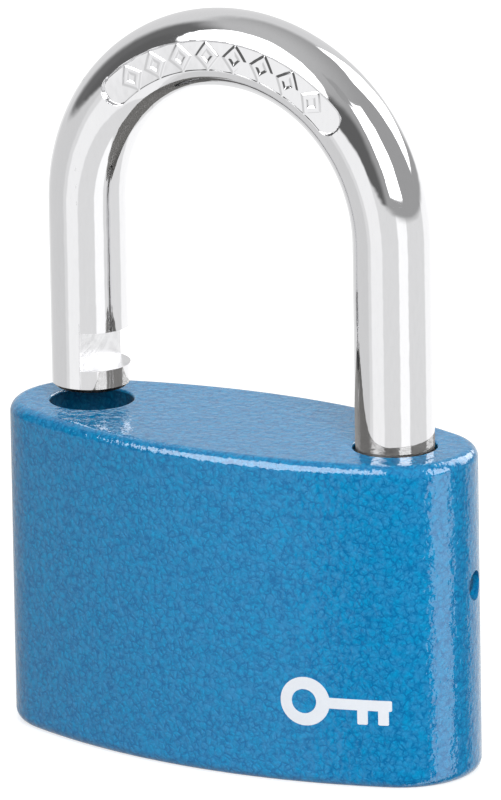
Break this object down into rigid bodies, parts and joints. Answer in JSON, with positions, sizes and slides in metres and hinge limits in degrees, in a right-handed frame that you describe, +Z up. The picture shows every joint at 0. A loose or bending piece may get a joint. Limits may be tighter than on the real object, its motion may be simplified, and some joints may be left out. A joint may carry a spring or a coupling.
{
  "type": "padlock",
  "caption": "Keyed padlock with an oval painted body, a round chromed shackle standing open, a pin-tumbler cylinder in its base and a sliding latch bolt.",
  "frame": {"origin": "middle of the body's flat bottom face", "axes": "+X along the body's width towards the heel leg, +Y from the front to the back, +Z up along the shackle's legs"},
  "size_m": [0.052, 0.0224, 0.0755],
  "materials": {
    "body_paint": "gloss",
    "shackle_chrome": "polished",
    "brass": "satin",
    "plug_brass": "satin",
    "steel": "satin",
    "spring_steel": "satin"
  },
  "bodies": {
    "casing": {"lock_body": "body_paint", "cylinder_shell": "brass", "chamber_cover": "brass", "cylinder_cross_pin": "steel", "shackle_keeper_pin": "steel", "shackle_spring": "spring_steel", "latch_spring": "spring_steel", "pin_spring_1": "spring_steel", "pin_spring_2": "spring_steel", "pin_spring_3": "spring_steel", "pin_spring_4": "spring_steel", "pin_spring_5": "spring_steel"},
    "lift_seat": {"spring_button": "steel"},
    "shackle": {"shackle": "shackle_chrome"},
    "plug": {"plug": "plug_brass", "plug_clip": "spring_steel", "cam": "steel"},
    "latch": {"latch_bolt": "steel"},
    "key_pin_1": {"key_pin_1": "brass"},
    "key_pin_2": {"key_pin_2": "brass"},
    "key_pin_3": {"key_pin_3": "brass"},
    "key_pin_4": {"key_pin_4": "brass"},
    "key_pin_5": {"key_pin_5": "brass"},
    "driver_pin_1": {"driver_pin_1": "brass"},
    "driver_pin_2": {"driver_pin_2": "brass"},
    "driver_pin_3": {"driver_pin_3": "brass"},
    "driver_pin_4": {"driver_pin_4": "brass"},
    "driver_pin_5": {"driver_pin_5": "brass"}
  },
  "joints": [
    {"name": "shackle_lift", "type": "slide", "parent": "casing", "child": "lift_seat", "axis": [0, 0, 1], "range_m": [-0.0105, 0], "stiffness_N_per_m": 750, "springref_m": 0.004, "deforming": ["shackle_spring"]},
    {"name": "shackle_swivel", "type": "hinge", "parent": "lift_seat", "child": "shackle", "pos_m": [0.01775, 0, 0.0155], "axis": [0, 0, 1], "continuous": true},
    {"name": "plug_turn", "type": "hinge", "parent": "casing", "child": "plug", "pos_m": [0, 0, 0.0005], "axis": [0, 0, 1], "range_deg": [0, 90]},
    {"name": "latch_slide", "type": "slide", "parent": "casing", "child": "latch", "axis": [-1, 0, 0], "range_m": [0, 0.003], "deforming": ["latch_spring"]},
    {"name": "key_pin_1_slide", "type": "slide", "parent": "plug", "child": "key_pin_1", "axis": [0, -1, 0], "range_m": [0, 0.0009]},
    {"name": "key_pin_2_slide", "type": "slide", "parent": "plug", "child": "key_pin_2", "axis": [0, -1, 0], "range_m": [0, 0.0015]},
    {"name": "key_pin_3_slide", "type": "slide", "parent": "plug", "child": "key_pin_3", "axis": [0, -1, 0], "range_m": [0, 0.0012]},
    {"name": "key_pin_4_slide", "type": "slide", "parent": "plug", "child": "key_pin_4", "axis": [0, -1, 0], "range_m": [0, 0.0018]},
    {"name": "key_pin_5_slide", "type": "slide", "parent": "plug", "child": "key_pin_5", "axis": [0, -1, 0], "range_m": [0, 0.0012]},
    {"name": "driver_pin_1_slide", "type": "slide", "parent": "casing", "child": "driver_pin_1", "axis": [-1, 0, 0], "range_m": [0, 0.0015], "stiffness_N_per_m": 200, "springref_m": -0.0015, "deforming": ["pin_spring_1"]},
    {"name": "driver_pin_2_slide", "type": "slide", "parent": "casing", "child": "driver_pin_2", "axis": [-1, 0, 0], "range_m": [0, 0.0015], "stiffness_N_per_m": 200, "springref_m": -0.0015, "deforming": ["pin_spring_2"]},
    {"name": "driver_pin_3_slide", "type": "slide", "parent": "casing", "child": "driver_pin_3", "axis": [-1, 0, 0], "range_m": [0, 0.0015], "stiffness_N_per_m": 200, "springref_m": -0.0015, "deforming": ["pin_spring_3"]},
    {"name": "driver_pin_4_slide", "type": "slide", "parent": "casing", "child": "driver_pin_4", "axis": [-1, 0, 0], "range_m": [0, 0.0015], "stiffness_N_per_m": 200, "springref_m": -0.0015, "deforming": ["pin_spring_4"]},
    {"name": "driver_pin_5_slide", "type": "slide", "parent": "casing", "child": "driver_pin_5", "axis": [-1, 0, 0], "range_m": [0, 0.0015], "stiffness_N_per_m": 200, "springref_m": -0.0015, "deforming": ["pin_spring_5"]}
  ],
  "couplings": [
    {"joint": "latch_slide", "follows": "plug_turn", "m_per_rad": 0.0019}
  ]
}
